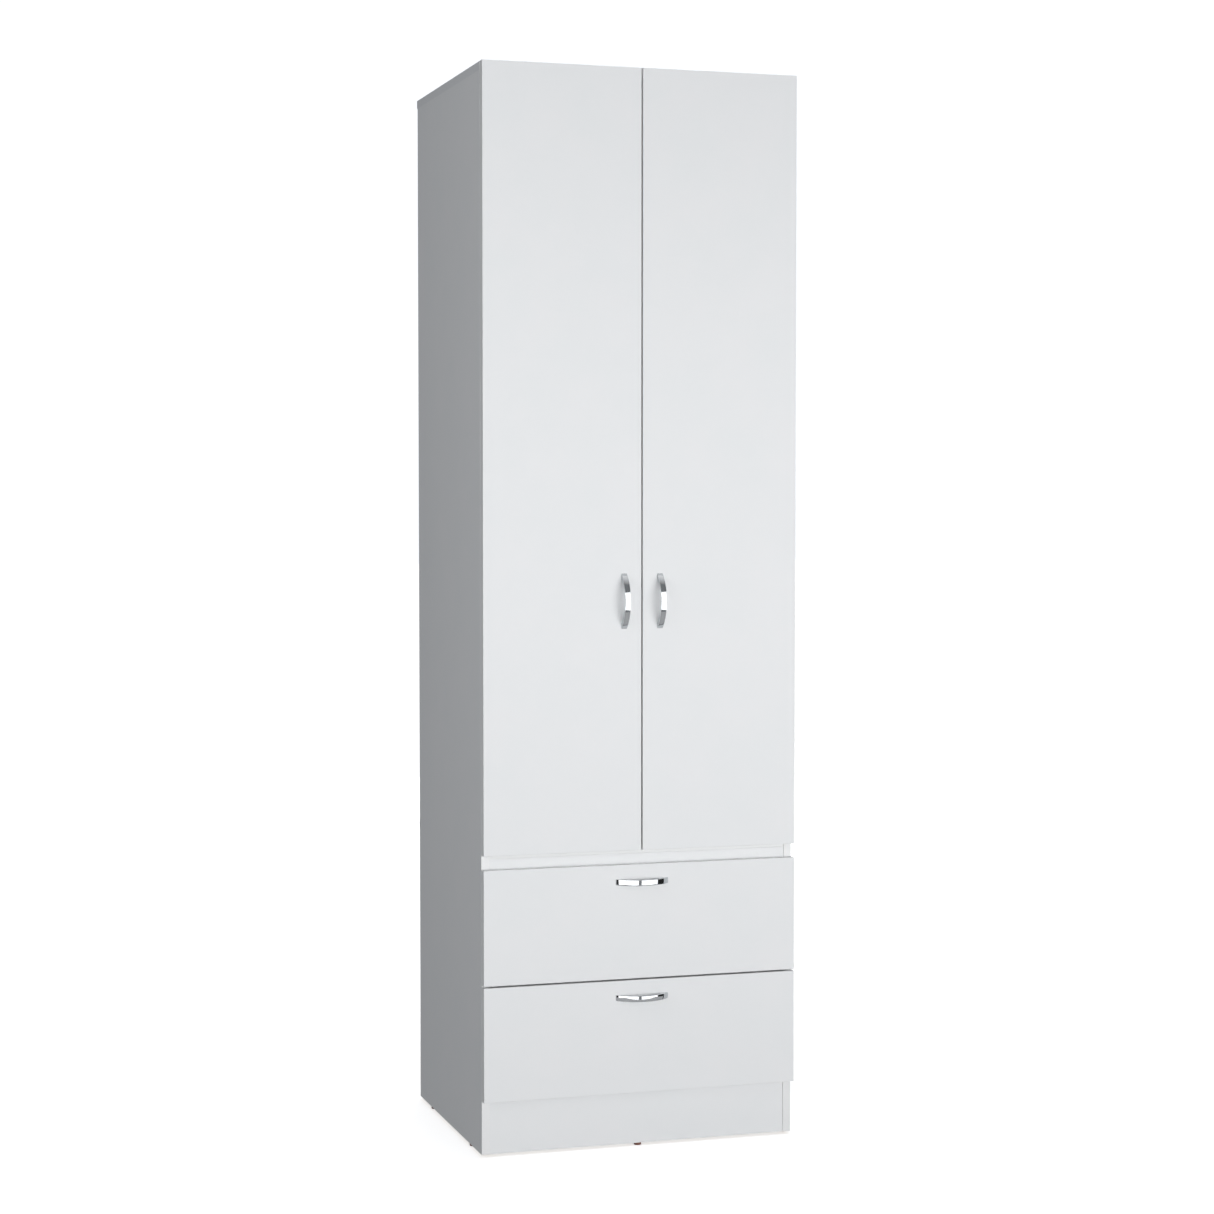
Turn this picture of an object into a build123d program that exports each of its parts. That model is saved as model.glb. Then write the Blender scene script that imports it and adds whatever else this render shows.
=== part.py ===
"""Two-door wardrobe with two drawers below, in 15 mm melamine-faced chipboard.

Millimetres, +Z up, the front faces -Y. The origin is on the floor, at the centre of the
object's bounding box. Every piece is its own solid, placed where it sits when all is closed.
"""

import os

from build123d import *

os.makedirs("parts", exist_ok=True)

# ---------------------------------------------------------------- driving dimensions
WIDTH = 592.0
HEIGHT = 1950.0
DEPTH = 500.0  # outer face of the doors to the back edge of the top
HANDLE_RISE = 24.0  # how far the bow handles stand off the fronts
BOARD = 15.0
GLIDE_HEIGHT = 5.0
DOOR_GAP = 2.0  # between the fronts and the carcass
SPLIT_GAP = 3.0  # between the doors, and between the drawer fronts
DOOR_BOTTOM = 544.6
SHELF_TOP = 552.0
UPPER_FRONT = (311.3, 518.9)  # bottom and top of the upper drawer front
LOWER_FRONT = (102.0, 308.3)
BOTTOM_TOP = 105.0
RAIL_HEIGHT = 60.0
BACK_OVERHANG = 4.3  # the top stands this far past the sides at the back
RAIL_RECESS = 1.5  # the shelf, rail and plinth sit this far behind the sides' front edges
HARDBOARD = 3.0
EDGE_ROUND = 0.6

HALF_WIDTH = WIDTH / 2
INNER_X = HALF_WIDTH - BOARD
FRONT_Y = -(DEPTH + HANDLE_RISE) / 2 + HANDLE_RISE
DOOR_BACK_Y = FRONT_Y + BOARD
CARCASS_Y = DOOR_BACK_Y + DOOR_GAP
TOP_BACK_Y = FRONT_Y + DEPTH
SIDE_BACK_Y = TOP_BACK_Y - BACK_OVERHANG
SIDE_TOP = HEIGHT - BOARD
INSET_Y = CARCASS_Y + RAIL_RECESS
SHELF_BOTTOM = SHELF_TOP - BOARD
BOTTOM_UNDER = BOTTOM_TOP - BOARD
SIDES = (("left", -1), ("right", 1))
CENTRED_MIN = (Align.CENTER, Align.CENTER, Align.MIN)

# ---------------------------------------------------------------- hinges
# Measured from the door's outer edge inwards, and from the carcass front backwards.
HINGE_HEIGHTS = (650.0, 1247.0, 1844.0)
CUP_EDGE = 4.0
CUP_RADIUS = 17.5
CUP_DEPTH = 11.5
CUP_WALL = 0.5
CUP_FLANGE = 0.8
CUP_INSET = CUP_EDGE + CUP_RADIUS
CUP_SCREW_INSET = CUP_INSET + 9.5
CUP_SCREW_RISE = 22.5
ARM_PIVOT = (27.4, -8.5)
CUP_PIVOT = (11.7, -3.5)
LINK_BEND = (18.7, -8.8)
LINK_HALF_WIDTH = 1.8
LINK_HALF_HEIGHT = 4.2
ARM_CHEEK = (4.7, 6.0)  # inner and outer face of each cheek, from the hinge's mid height
LUG_CHEEK = (4.6, 6.2)
PIN_RADIUS = 1.0
PIN_CLEARANCE = 0.05
PLATE_SETBACK = 37.0
PLATE_SCREW_RISE = 16.0

# ---------------------------------------------------------------- drawers and runners
BOX_BOARD = 12.0
BOX_LENGTH = 400.0
BOX_HEIGHT = 140.0
RUNNER_SPACE = 13.0
BOX_HALF_WIDTH = INNER_X - RUNNER_SPACE
BOX_LIFT = 14.0  # bottom of the box above the bottom of its front
GROOVE_LIFT = 10.0
GROOVE_DEPTH = 5.0
GROOVE_CLEARANCE = 0.2
RUNNER_LIFT = 60.0  # runner's centre line above the bottom of the box
DRAWERS = (("upper", UPPER_FRONT), ("lower", LOWER_FRONT))

# ---------------------------------------------------------------- handles
HANDLE_LENGTH = 99.0
HANDLE_WIDTH = 10.5
HANDLE_PITCH = 89.0
HANDLE_THICKNESS = 2.5
HANDLE_FOOT = 5.0
DOOR_HANDLE_INSET = 34.0 - SPLIT_GAP / 2
DOOR_HANDLE_Z = 996.0
DRAWER_HANDLE_DROP = 31.0
HANDLE_SCREW_RADIUS = 1.7
HANDLE_SCREW_GRIP = 3.5

# ---------------------------------------------------------------- screw heads
# Radius and height of each head, and its cross recess.
LARGE_HEAD = (4.0, 1.8)
LOCK_HEAD = (3.4, 1.4)
CUP_HEAD = (3.2, 0.7)
SOCKET_HEAD = (2.9, 1.6)
RUNNER_HEAD = (3.2, 1.3)
RECESS_SHARE = 1.1
RECESS_WIDTH = 0.8

# ---------------------------------------------------------------- joints of the carcass
CAM_RADIUS = 7.5
CAM_DEPTH = 12.5
CAM_MOUTH_RADIUS = 3.1
CAM_MOUTH_LENGTH = 8.5
CAM_REACH = 34.0  # from a board's end to the centre of its cam
BOLT_RADIUS = 3.0
BOLT_GRIP = 10.0
BOLT_STOP = 4.0  # a bolt ends this far short of its cam's centre
DOWEL_RADIUS = 4.0
DOWEL_LENGTH = 30.0
SHELF_CAM_YS = (-150.0, 190.0)
SHELF_DOWEL_YS = (-90.0, 130.0)
RAIL_CAM_Z = SHELF_BOTTOM - RAIL_HEIGHT / 2
PLINTH_CAM_Z = 45.0
RAIL_MID_Y = INSET_Y + BOARD / 2
REAR_PLINTH_Y = 205.0
REAR_MID_Y = REAR_PLINTH_Y + BOARD / 2
SHELF_MID_Z = SHELF_TOP - BOARD / 2
BOTTOM_MID_Z = BOTTOM_TOP - BOARD / 2
SIDE_DOWELS = [(y, z) for z in (SHELF_MID_Z, BOTTOM_MID_Z) for y in SHELF_DOWEL_YS]
TOP_CAM_YS = (-150.0, 190.0)
TOP_DOWEL_YS = (-90.0, 130.0)
TOP_CAM_DROP = 34.0
SIDE_MID_X = HALF_WIDTH - BOARD / 2
CAM_SLOT = (9.0, 1.6, 1.0)
# height and depth where a bolt leaves each side for a board between the sides
SIDE_BOLTS = (
    [(y, z) for z in (SHELF_MID_Z, BOTTOM_MID_Z) for y in SHELF_CAM_YS]
    + [(RAIL_MID_Y, RAIL_CAM_Z), (RAIL_MID_Y, PLINTH_CAM_Z), (REAR_MID_Y, PLINTH_CAM_Z)]
)
# the three upright rails: name, front face, bottom, top, height of the cams, eased front
UPRIGHTS = (
    ("front_rail", INSET_Y, SHELF_BOTTOM - RAIL_HEIGHT, SHELF_BOTTOM, RAIL_CAM_Z, True),
    ("plinth_board", INSET_Y, GLIDE_HEIGHT, BOTTOM_TOP, PLINTH_CAM_Z, True),
    ("rear_plinth_board", REAR_PLINTH_Y, GLIDE_HEIGHT, BOTTOM_UNDER, PLINTH_CAM_Z, False),
)

# ---------------------------------------------------------------- back and its nails
BACK_INSET = 1.0
STRIP_WEB = 0.8
STRIP_LEAF = 0.9
STRIP_CLEARANCE = 0.1
STRIP_END_GAP = 0.2
BACK_TOP_GAP = 0.3
BACK_DROP = 10.0
BACK_Y = SIDE_BACK_Y + HARDBOARD
STRIP_HALF_HEIGHT = 7.5
STRIP_INNER_HALF = INNER_X - BACK_INSET
NAIL_HEAD_RADIUS = 3.0
NAIL_HEAD = 0.9
STRIP_RECESS = 1.2  # the shelf stops short of the back, behind the joining strip's inner leaf
NAIL_RADIUS = 0.8
BACK_NAIL_INSET = 7.0
BACK_NAIL_X = HALF_WIDTH - BACK_NAIL_INSET
BACK_NAIL_GRIP = 17.0
UPPER_NAILS = (570.0, 148.0, 10)  # first height, spacing and number of the nails up each side
LOWER_NAILS = (130.0, 125.0, 4)
BACK_NAIL_ZS = [first + step * i for first, step, count in (UPPER_NAILS, LOWER_NAILS) for i in range(count)]
BACK_NAIL_XS = (-210.0, -70.0, 70.0, 210.0)
BACK_NAILS = [(side * BACK_NAIL_X, z) for _, side in SIDES for z in BACK_NAIL_ZS]
BACK_NAILS += [(x, BOTTOM_MID_Z) for x in BACK_NAIL_XS]
BACK_PANELS = (
    ("upper_back_panel", SHELF_MID_Z + STRIP_WEB / 2 + STRIP_CLEARANCE, SIDE_TOP - BACK_TOP_GAP),
    ("lower_back_panel", BOTTOM_UNDER - BACK_DROP, SHELF_MID_Z - STRIP_WEB / 2 - STRIP_CLEARANCE),
)

# ---------------------------------------------------------------- floor glides
GLIDE_INSET = 90.0
SIDE_GLIDE_YS = (CARCASS_Y + GLIDE_INSET, SIDE_BACK_Y - GLIDE_INSET)
GLIDE_NAIL_REACH = 14.0
GLIDE_RADIUS = 7.0
GLIDE_ROUND = 1.6
GLIDE_NAIL_Z = 1.5  # its head sits in the glide, clear of the floor
GLIDE_NAIL_LENGTH = 17.0
GLIDE_PLACES = [(side * SIDE_MID_X, y) for _, side in SIDES for y in SIDE_GLIDE_YS]
GLIDE_PLACES += [(0, RAIL_MID_Y), (0, REAR_MID_Y)]

# ---------------------------------------------------------------- hanging rod
ROD_RADIUS = 12.5
ROD_WALL = 1.0
ROD_END_GAP = 0.5
ROD_CLEARANCE = 0.05
ROD_Z = 1858.0
SOCKET_RADIUS = 22.0
SOCKET_DEPTH = 14.0
SOCKET_FLANGE = 2.5
SOCKET_WALL = 2.0
SOCKET_SCREW_RISE = 17.5
ROD_Y = (CARCASS_Y + SIDE_BACK_Y) / 2

# ---------------------------------------------------------------- hinge arms, plates and cups
PLATE_SCREW_RADIUS = 2.2
PLATE_SCREW_LENGTH = 12.0
ARM_TAIL = 66.0
PLATE_REACH = (26.0, 62.0)
PLATE_HEIGHT = 3.0
BLOCK_HEIGHT = 9.5
LOCK_SCREW_Y = 46.0
LOCK_SCREW_RADIUS = 1.8
LOCK_SCREW_LENGTH = 11.0
LOCK_SLOT_RADIUS = 2.0
LOCK_BORE_DEPTH = 8.0
ARM_BACK = 29.9  # outer face of the arm's web, from the door's outer edge
ARM_EYE_RADIUS = 2.5
PLATE_WING = 8.0
PLATE_WING_RISE = PLATE_SCREW_RISE + 6.0
PLATE_FOOT_HALF = 6.4
BLOCK_CLEARANCE = 0.2
CUP_EAR_RADIUS = 6.0
CUP_RIM_RADIUS = CUP_RADIUS + 1.5
CUP_MOUTH = 2.0
LUG_RADIUS = 2.2
CUP_SCREW_RADIUS = 1.8
CUP_SCREW_LENGTH = 11.0
PLATE_FOOT_START = PLATE_REACH[0] - 6.0
ARM_CHEEK_OUTLINE = (
    (24.9, -8.5),
    (24.9, 2.0),
    (19.5, 11.0),
    (19.5, ARM_TAIL),
    (ARM_BACK, ARM_TAIL),
    (ARM_BACK, -8.5),
)
ARM_WEB_OUTLINE = ((28.7, -4.5), (28.7, ARM_TAIL), (ARM_BACK, ARM_TAIL), (ARM_BACK, -4.5))
HINGES = [(side, z) for _, side in SIDES for z in HINGE_HEIGHTS]

# ---------------------------------------------------------------- runner members
RUNNER_HALF_HEIGHT = 17.5
RUNNER_SHEET = 1.2
RUNNER_SCREW_YS = (-185.0, 10.0, 150.0)
RUNNER_SCREW_RADIUS = 1.8
RUNNER_SCREW_LENGTH = 12.0
RUNNER_SETBACK = 2.0
RUNNER_START_Y = CARCASS_Y + RUNNER_SETBACK
RUNNER_LENGTH = 395.0
CABINET_WEB_X = INNER_X - 0.1
MIDDLE_WEB_X = INNER_X - 3.4
DRAWER_WEB_X = BOX_HALF_WIDTH + 0.1
CABINET_LIP_X = INNER_X - 9.0
MIDDLE_LIP_X = BOX_HALF_WIDTH + 2.4
DRAWER_LIP_X = BOX_HALF_WIDTH + 6.8
MIDDLE_HALF_HEIGHT = 14.9
DRAWER_HALF_HEIGHT = 12.4
DRAWER_SCREW_YS = (-170.0, 0.0, 150.0)

# ---------------------------------------------------------------- drawer joints
FRONT_CAM_RADIUS = 6.0
FRONT_CAM_SLOT = (7.0, 1.4, 1.0)
FRONT_CAM_DEPTH = 9.5
FRONT_CAM_REACH = 24.0
FRONT_CAM_RISE = 32.0
CORNER_SCREW_RISE = 35.0
CORNER_SCREW_DROP = 25.0
FRONT_BOLT_RADIUS = 2.5
CORNER_SCREW_RADIUS = 2.5
CORNER_HEAD_RADIUS = 3.6
CORNER_HEAD = 2.2
CORNER_HEAD_SINK = 0.2
CORNER_SCREW_LENGTH = 28.0
DRAWER_SCREW_LENGTH = 9.0


def publish(builder, name):
    """Labels a finished piece and writes its STEP."""
    builder.part.label = name
    export_step(builder.part, f"parts/{name}.step")


def slab(low, high, mode=Mode.ADD):
    """A box from its lowest to its highest corner."""
    size = [b - a for a, b in zip(low, high)]
    centre = [(a + b) / 2 for a, b in zip(low, high)]
    with Locations(tuple(centre)):
        Box(*size, mode=mode)


def rod(start, direction, radius, length, mode=Mode.ADD):
    """A cylinder that starts at a point and runs along a direction."""
    with Locations(Plane(origin=start, z_dir=direction).location):
        Cylinder(radius, length, align=CENTRED_MIN, mode=mode)


def bore(start, direction, radius, length):
    """A round hole that starts at a point and runs along a direction."""
    rod(start, direction, radius, length, Mode.SUBTRACT)


def ease(builder, axis, direction):
    """Rounds the rim of a board's outermost face, where its edging is trimmed."""
    faces = builder.part.faces().sort_by(axis)
    fillet(faces[-1 if direction > 0 else 0].edges(), EDGE_ROUND)


def cross_slot(face, span, width, depth):
    """A cross-shaped recess cut into the face that a plane gives."""
    for turn in (0, 90):
        with Locations(face.location * Location((0, 0, 0), (0, 0, turn))):
            Box(span, width, 2 * depth, mode=Mode.SUBTRACT)


def screw(start, direction, radius, length, head_radius, head_height):
    """A screw whose head rests on the start point, with a cross recess in the head."""
    back = tuple(-c for c in direction)
    rod(start, direction, radius, length)
    rod(start, back, head_radius, head_height)
    head_top = tuple(s + b * head_height for s, b in zip(start, back))
    span = head_radius * RECESS_SHARE
    cross_slot(Plane(origin=head_top, z_dir=back), span, RECESS_WIDTH, head_height / 2)


# ---------------------------------------------------------------- joints of the carcass
def runner_height(front):
    """Centre line of the runners of the drawer with this front."""
    return front[0] + BOX_LIFT + RUNNER_LIFT


def make_side_panel(name, side):
    """A side of the carcass, bored on its inner face for everything that fixes to it."""
    inner = side * INNER_X
    outward = (side, 0, 0)
    with BuildPart() as panel:
        slab(
            (min(inner, side * HALF_WIDTH), CARCASS_Y, GLIDE_HEIGHT),
            (max(inner, side * HALF_WIDTH), SIDE_BACK_Y, SIDE_TOP),
        )
        ease(panel, Axis.Y, -1)
        for y, z in SIDE_BOLTS:
            bore((inner, y, z), outward, BOLT_RADIUS, BOLT_GRIP)
        for y, z in SIDE_DOWELS:
            bore((inner, y, z), outward, DOWEL_RADIUS, BOLT_GRIP)
        for z in HINGE_HEIGHTS:
            for rise in (-PLATE_SCREW_RISE, PLATE_SCREW_RISE):
                start = (inner, CARCASS_Y + PLATE_SETBACK, z + rise)
                bore(start, outward, PLATE_SCREW_RADIUS, PLATE_SCREW_LENGTH)
        for _, front in DRAWERS:
            for y in RUNNER_SCREW_YS:
                bore((inner, y, runner_height(front)), outward, RUNNER_SCREW_RADIUS, RUNNER_SCREW_LENGTH)
        for rise in (-SOCKET_SCREW_RISE, SOCKET_SCREW_RISE):
            bore((inner, ROD_Y, ROD_Z + rise), outward, RUNNER_SCREW_RADIUS, RUNNER_SCREW_LENGTH)
        for y in TOP_CAM_YS:
            bore((inner, y, SIDE_TOP - TOP_CAM_DROP), outward, CAM_RADIUS, CAM_DEPTH)
            bore((side * SIDE_MID_X, y, SIDE_TOP), (0, 0, -1), BOLT_RADIUS, TOP_CAM_DROP)
        for y in TOP_DOWEL_YS:
            bore((side * SIDE_MID_X, y, SIDE_TOP), (0, 0, -1), DOWEL_RADIUS, DOWEL_LENGTH - BOLT_GRIP)
        for y in SIDE_GLIDE_YS:
            bore((side * SIDE_MID_X, y, GLIDE_HEIGHT), (0, 0, 1), NAIL_RADIUS, GLIDE_NAIL_REACH)
        for z in BACK_NAIL_ZS:
            bore((side * BACK_NAIL_X, SIDE_BACK_Y, z), (0, -1, 0), NAIL_RADIUS, BACK_NAIL_GRIP)
    publish(panel, name)


for side_name, side_sign in SIDES:
    make_side_panel(f"{side_name}_side_panel", side_sign)

with BuildPart() as top_panel:
    slab((-HALF_WIDTH, CARCASS_Y, SIDE_TOP), (HALF_WIDTH, TOP_BACK_Y, HEIGHT))
    ease(top_panel, Axis.Y, -1)
    for _, side in SIDES:
        for y in TOP_CAM_YS:
            bore((side * SIDE_MID_X, y, SIDE_TOP), (0, 0, 1), BOLT_RADIUS, BOLT_GRIP)
        for y in TOP_DOWEL_YS:
            bore((side * SIDE_MID_X, y, SIDE_TOP), (0, 0, 1), DOWEL_RADIUS, BOLT_GRIP)
publish(top_panel, "top_panel")


def bore_for_cams(mid_z, underside, ys):
    """Cam recesses from below and bolt bores from both ends, in a flat board between the sides."""
    for _, side in SIDES:
        for y in ys:
            bore((side * (INNER_X - CAM_REACH), y, underside), (0, 0, 1), CAM_RADIUS, CAM_DEPTH)
            bore((side * INNER_X, y, mid_z), (-side, 0, 0), BOLT_RADIUS, CAM_REACH)


def bore_for_dowels(mid_z, ys):
    """Dowel bores in both ends of a flat board between the sides."""
    for _, side in SIDES:
        for y in ys:
            bore((side * INNER_X, y, mid_z), (-side, 0, 0), DOWEL_RADIUS, DOWEL_LENGTH - BOLT_GRIP)


with BuildPart() as fixed_shelf:
    slab((-INNER_X, INSET_Y, SHELF_BOTTOM), (INNER_X, SIDE_BACK_Y - STRIP_RECESS, SHELF_TOP))
    ease(fixed_shelf, Axis.Y, -1)
    bore_for_cams(SHELF_MID_Z, SHELF_BOTTOM, SHELF_CAM_YS)
    bore_for_dowels(SHELF_MID_Z, SHELF_DOWEL_YS)
publish(fixed_shelf, "fixed_shelf")

with BuildPart() as bottom_panel:
    slab((-INNER_X, INSET_Y + BOARD, BOTTOM_UNDER), (INNER_X, SIDE_BACK_Y, BOTTOM_TOP))
    bore_for_cams(BOTTOM_MID_Z, BOTTOM_UNDER, SHELF_CAM_YS)
    bore_for_dowels(BOTTOM_MID_Z, SHELF_DOWEL_YS)
    for x in BACK_NAIL_XS:
        bore((x, SIDE_BACK_Y, BOTTOM_MID_Z), (0, -1, 0), NAIL_RADIUS, BACK_NAIL_GRIP)
publish(bottom_panel, "bottom_panel")

for name, front_y, low_z, high_z, cam_z, eased in UPRIGHTS:
    with BuildPart() as upright:
        slab((-INNER_X, front_y, low_z), (INNER_X, front_y + BOARD, high_z))
        if eased:
            ease(upright, Axis.Y, -1)
        for _, side in SIDES:
            cam_x = side * (INNER_X - CAM_REACH)
            bore((cam_x, front_y + BOARD, cam_z), (0, -1, 0), CAM_RADIUS, CAM_DEPTH)
            bore((side * INNER_X, front_y + BOARD / 2, cam_z), (-side, 0, 0), BOLT_RADIUS, CAM_REACH)
        if low_z == GLIDE_HEIGHT:
            bore((0, front_y + BOARD / 2, low_z), (0, 0, 1), NAIL_RADIUS, GLIDE_NAIL_REACH)
    publish(upright, name)

# ---------------------------------------------------------------- back
for name, low_z, high_z in BACK_PANELS:
    with BuildPart() as back_panel:
        slab(
            (-HALF_WIDTH + BACK_INSET, SIDE_BACK_Y, low_z),
            (HALF_WIDTH - BACK_INSET, BACK_Y, high_z),
        )
        for x, z in BACK_NAILS:
            if low_z < z < high_z:
                bore((x, BACK_Y, z), (0, -1, 0), NAIL_RADIUS, HARDBOARD)
    publish(back_panel, name)

with BuildPart() as back_joining_strip:
    slab(
        (-HALF_WIDTH + STRIP_END_GAP, BACK_Y, SHELF_MID_Z - STRIP_HALF_HEIGHT),
        (HALF_WIDTH - STRIP_END_GAP, BACK_Y + STRIP_LEAF, SHELF_MID_Z + STRIP_HALF_HEIGHT),
    )
    slab(
        (-HALF_WIDTH + BACK_INSET, SIDE_BACK_Y, SHELF_MID_Z - STRIP_WEB / 2),
        (HALF_WIDTH - BACK_INSET, BACK_Y, SHELF_MID_Z + STRIP_WEB / 2),
    )
    slab(
        (-STRIP_INNER_HALF, SIDE_BACK_Y - STRIP_LEAF, SHELF_MID_Z - STRIP_HALF_HEIGHT),
        (STRIP_INNER_HALF, SIDE_BACK_Y, SHELF_MID_Z + STRIP_HALF_HEIGHT),
    )
publish(back_joining_strip, "back_joining_strip")

with BuildPart() as back_panel_nails:
    for x, z in BACK_NAILS:
        rod((x, BACK_Y, z), (0, -1, 0), NAIL_RADIUS, HARDBOARD + BACK_NAIL_GRIP)
        rod((x, BACK_Y, z), (0, 1, 0), NAIL_HEAD_RADIUS, NAIL_HEAD)
publish(back_panel_nails, "back_panel_nails")

# ---------------------------------------------------------------- joint fittings
with BuildPart() as cam_bolts:
    for _, side in SIDES:
        for y, z in SIDE_BOLTS:
            start = (side * (INNER_X + BOLT_GRIP), y, z)
            rod(start, (-side, 0, 0), BOLT_RADIUS, BOLT_GRIP + CAM_REACH - BOLT_STOP)
        for y in TOP_CAM_YS:
            top = (side * SIDE_MID_X, y, SIDE_TOP + BOLT_GRIP)
            rod(top, (0, 0, -1), BOLT_RADIUS, BOLT_GRIP + TOP_CAM_DROP - BOLT_STOP)
publish(cam_bolts, "cam_bolts")


def cam(mouth, inward, bolt_direction):
    """A cam in its recess: mouth is the centre of its face, inward the way it goes in."""
    rod(mouth, inward, CAM_RADIUS, CAM_DEPTH)
    cross_slot(Plane(origin=mouth, z_dir=inward), *CAM_SLOT)
    middle = tuple(m + i * BOARD / 2 for m, i in zip(mouth, inward))
    bore(middle, bolt_direction, CAM_MOUTH_RADIUS, CAM_MOUTH_LENGTH)


with BuildPart() as cam_locks:
    for _, side in SIDES:
        cam_x = side * (INNER_X - CAM_REACH)
        for y in SHELF_CAM_YS:
            cam((cam_x, y, SHELF_BOTTOM), (0, 0, 1), (side, 0, 0))
            cam((cam_x, y, BOTTOM_UNDER), (0, 0, 1), (side, 0, 0))
        for _, front_y, _, _, cam_z, _ in UPRIGHTS:
            cam((cam_x, front_y + BOARD, cam_z), (0, -1, 0), (side, 0, 0))
        for y in TOP_CAM_YS:
            cam((side * INNER_X, y, SIDE_TOP - TOP_CAM_DROP), (side, 0, 0), (0, 0, 1))
publish(cam_locks, "cam_locks")

with BuildPart() as joint_dowels:
    for _, side in SIDES:
        for y, z in SIDE_DOWELS:
            rod((side * (INNER_X + BOLT_GRIP), y, z), (-side, 0, 0), DOWEL_RADIUS, DOWEL_LENGTH)
        for y in TOP_DOWEL_YS:
            rod((side * SIDE_MID_X, y, SIDE_TOP + BOLT_GRIP), (0, 0, -1), DOWEL_RADIUS, DOWEL_LENGTH)
publish(joint_dowels, "joint_dowels")

# ---------------------------------------------------------------- floor glides
with BuildPart() as floor_glides:
    for x, y in GLIDE_PLACES:
        rod((x, y, 0), (0, 0, 1), GLIDE_RADIUS, GLIDE_HEIGHT)
    fillet(floor_glides.edges().group_by(Axis.Z)[0], GLIDE_ROUND)
    for x, y in GLIDE_PLACES:
        bore((x, y, GLIDE_NAIL_Z), (0, 0, 1), NAIL_RADIUS, GLIDE_HEIGHT)
publish(floor_glides, "floor_glides")

with BuildPart() as glide_nails:
    for x, y in GLIDE_PLACES:
        rod((x, y, GLIDE_NAIL_Z), (0, 0, 1), NAIL_RADIUS, GLIDE_NAIL_LENGTH)
publish(glide_nails, "glide_nails")

# ---------------------------------------------------------------- hanging rod
with BuildPart() as hanging_rod:
    end_x = INNER_X - SOCKET_FLANGE - ROD_END_GAP
    with BuildSketch(Plane.YZ.offset(-end_x)):
        with Locations((ROD_Y, ROD_Z)):
            Circle(ROD_RADIUS)
            Circle(ROD_RADIUS - ROD_WALL, mode=Mode.SUBTRACT)
    extrude(amount=2 * end_x)
publish(hanging_rod, "hanging_rod")

with BuildPart() as rod_sockets:
    for _, side in SIDES:
        wall = (side * INNER_X, ROD_Y, ROD_Z)
        rod(wall, (-side, 0, 0), SOCKET_RADIUS, SOCKET_FLANGE)
        rod(wall, (-side, 0, 0), ROD_RADIUS + SOCKET_WALL, SOCKET_DEPTH)
        mouth = (side * (INNER_X - SOCKET_FLANGE), ROD_Y, ROD_Z)
        bore(mouth, (-side, 0, 0), ROD_RADIUS + ROD_CLEARANCE, SOCKET_DEPTH)
        for rise in (-SOCKET_SCREW_RISE, SOCKET_SCREW_RISE):
            bore((side * INNER_X, ROD_Y, ROD_Z + rise), (-side, 0, 0), RUNNER_SCREW_RADIUS, SOCKET_FLANGE)
publish(rod_sockets, "rod_sockets")


# ---------------------------------------------------------------- hinges
def hinge_point(side, place):
    """A plan point, given from the door's outer edge inwards and from the carcass front backwards."""
    inset, back = place
    return (side * (HALF_WIDTH - inset), CARCASS_Y + back)


def hinge_outline(side, places):
    """Plan points of a closed outline."""
    return [hinge_point(side, place) for place in places]


def make_hinge_arms():
    """The channel arms that reach from the mounting plates into the cups."""
    with BuildPart() as arms:
        for side, z in HINGES:
            for low, high in ((-ARM_CHEEK[1], -ARM_CHEEK[0]), (ARM_CHEEK[0], ARM_CHEEK[1])):
                with BuildSketch(Plane.XY.offset(z + low)):
                    with BuildLine():
                        Polyline(*hinge_outline(side, ARM_CHEEK_OUTLINE), close=True)
                    make_face()
                    with Locations(hinge_point(side, ARM_PIVOT)):
                        Circle(ARM_EYE_RADIUS)
                        Circle(PIN_RADIUS, mode=Mode.SUBTRACT)
                extrude(amount=high - low)
            with BuildSketch(Plane.XY.offset(z - ARM_CHEEK[1])):
                with BuildLine():
                    Polyline(*hinge_outline(side, ARM_WEB_OUTLINE), close=True)
                make_face()
            extrude(amount=2 * ARM_CHEEK[1])
            hole_x, hole_y = hinge_point(side, (ARM_BACK, LOCK_SCREW_Y))
            bore((hole_x, hole_y, z), (side, 0, 0), LOCK_SLOT_RADIUS, LOCK_SLOT_RADIUS)
    publish(arms, "hinge_arms")


def make_hinge_plates():
    """Cross-shaped mounting plates, each with a block that the arm saddles."""
    with BuildPart() as plates:
        for side, z in HINGES:
            wall = side * INNER_X
            for low_y, high_y, half_height, rise in (
                (PLATE_REACH[0], PLATE_SETBACK + PLATE_WING, PLATE_WING_RISE, PLATE_HEIGHT),
                (PLATE_FOOT_START, PLATE_REACH[1], PLATE_FOOT_HALF, PLATE_HEIGHT),
                (PLATE_FOOT_START, PLATE_REACH[1], ARM_CHEEK[0] - BLOCK_CLEARANCE, BLOCK_HEIGHT),
            ):
                xs = sorted((wall, wall - side * rise))
                slab(
                    (xs[0], CARCASS_Y + low_y, z - half_height),
                    (xs[1], CARCASS_Y + high_y, z + half_height),
                )
            for screw_rise in (-PLATE_SCREW_RISE, PLATE_SCREW_RISE):
                start = (wall, CARCASS_Y + PLATE_SETBACK, z + screw_rise)
                bore(start, (-side, 0, 0), PLATE_SCREW_RADIUS, PLATE_HEIGHT)
            lock_x, lock_y = hinge_point(side, (BOARD + BLOCK_HEIGHT, LOCK_SCREW_Y))
            bore((lock_x, lock_y, z), (side, 0, 0), LOCK_SCREW_RADIUS, LOCK_BORE_DEPTH)
    publish(plates, "hinge_plates")


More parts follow.
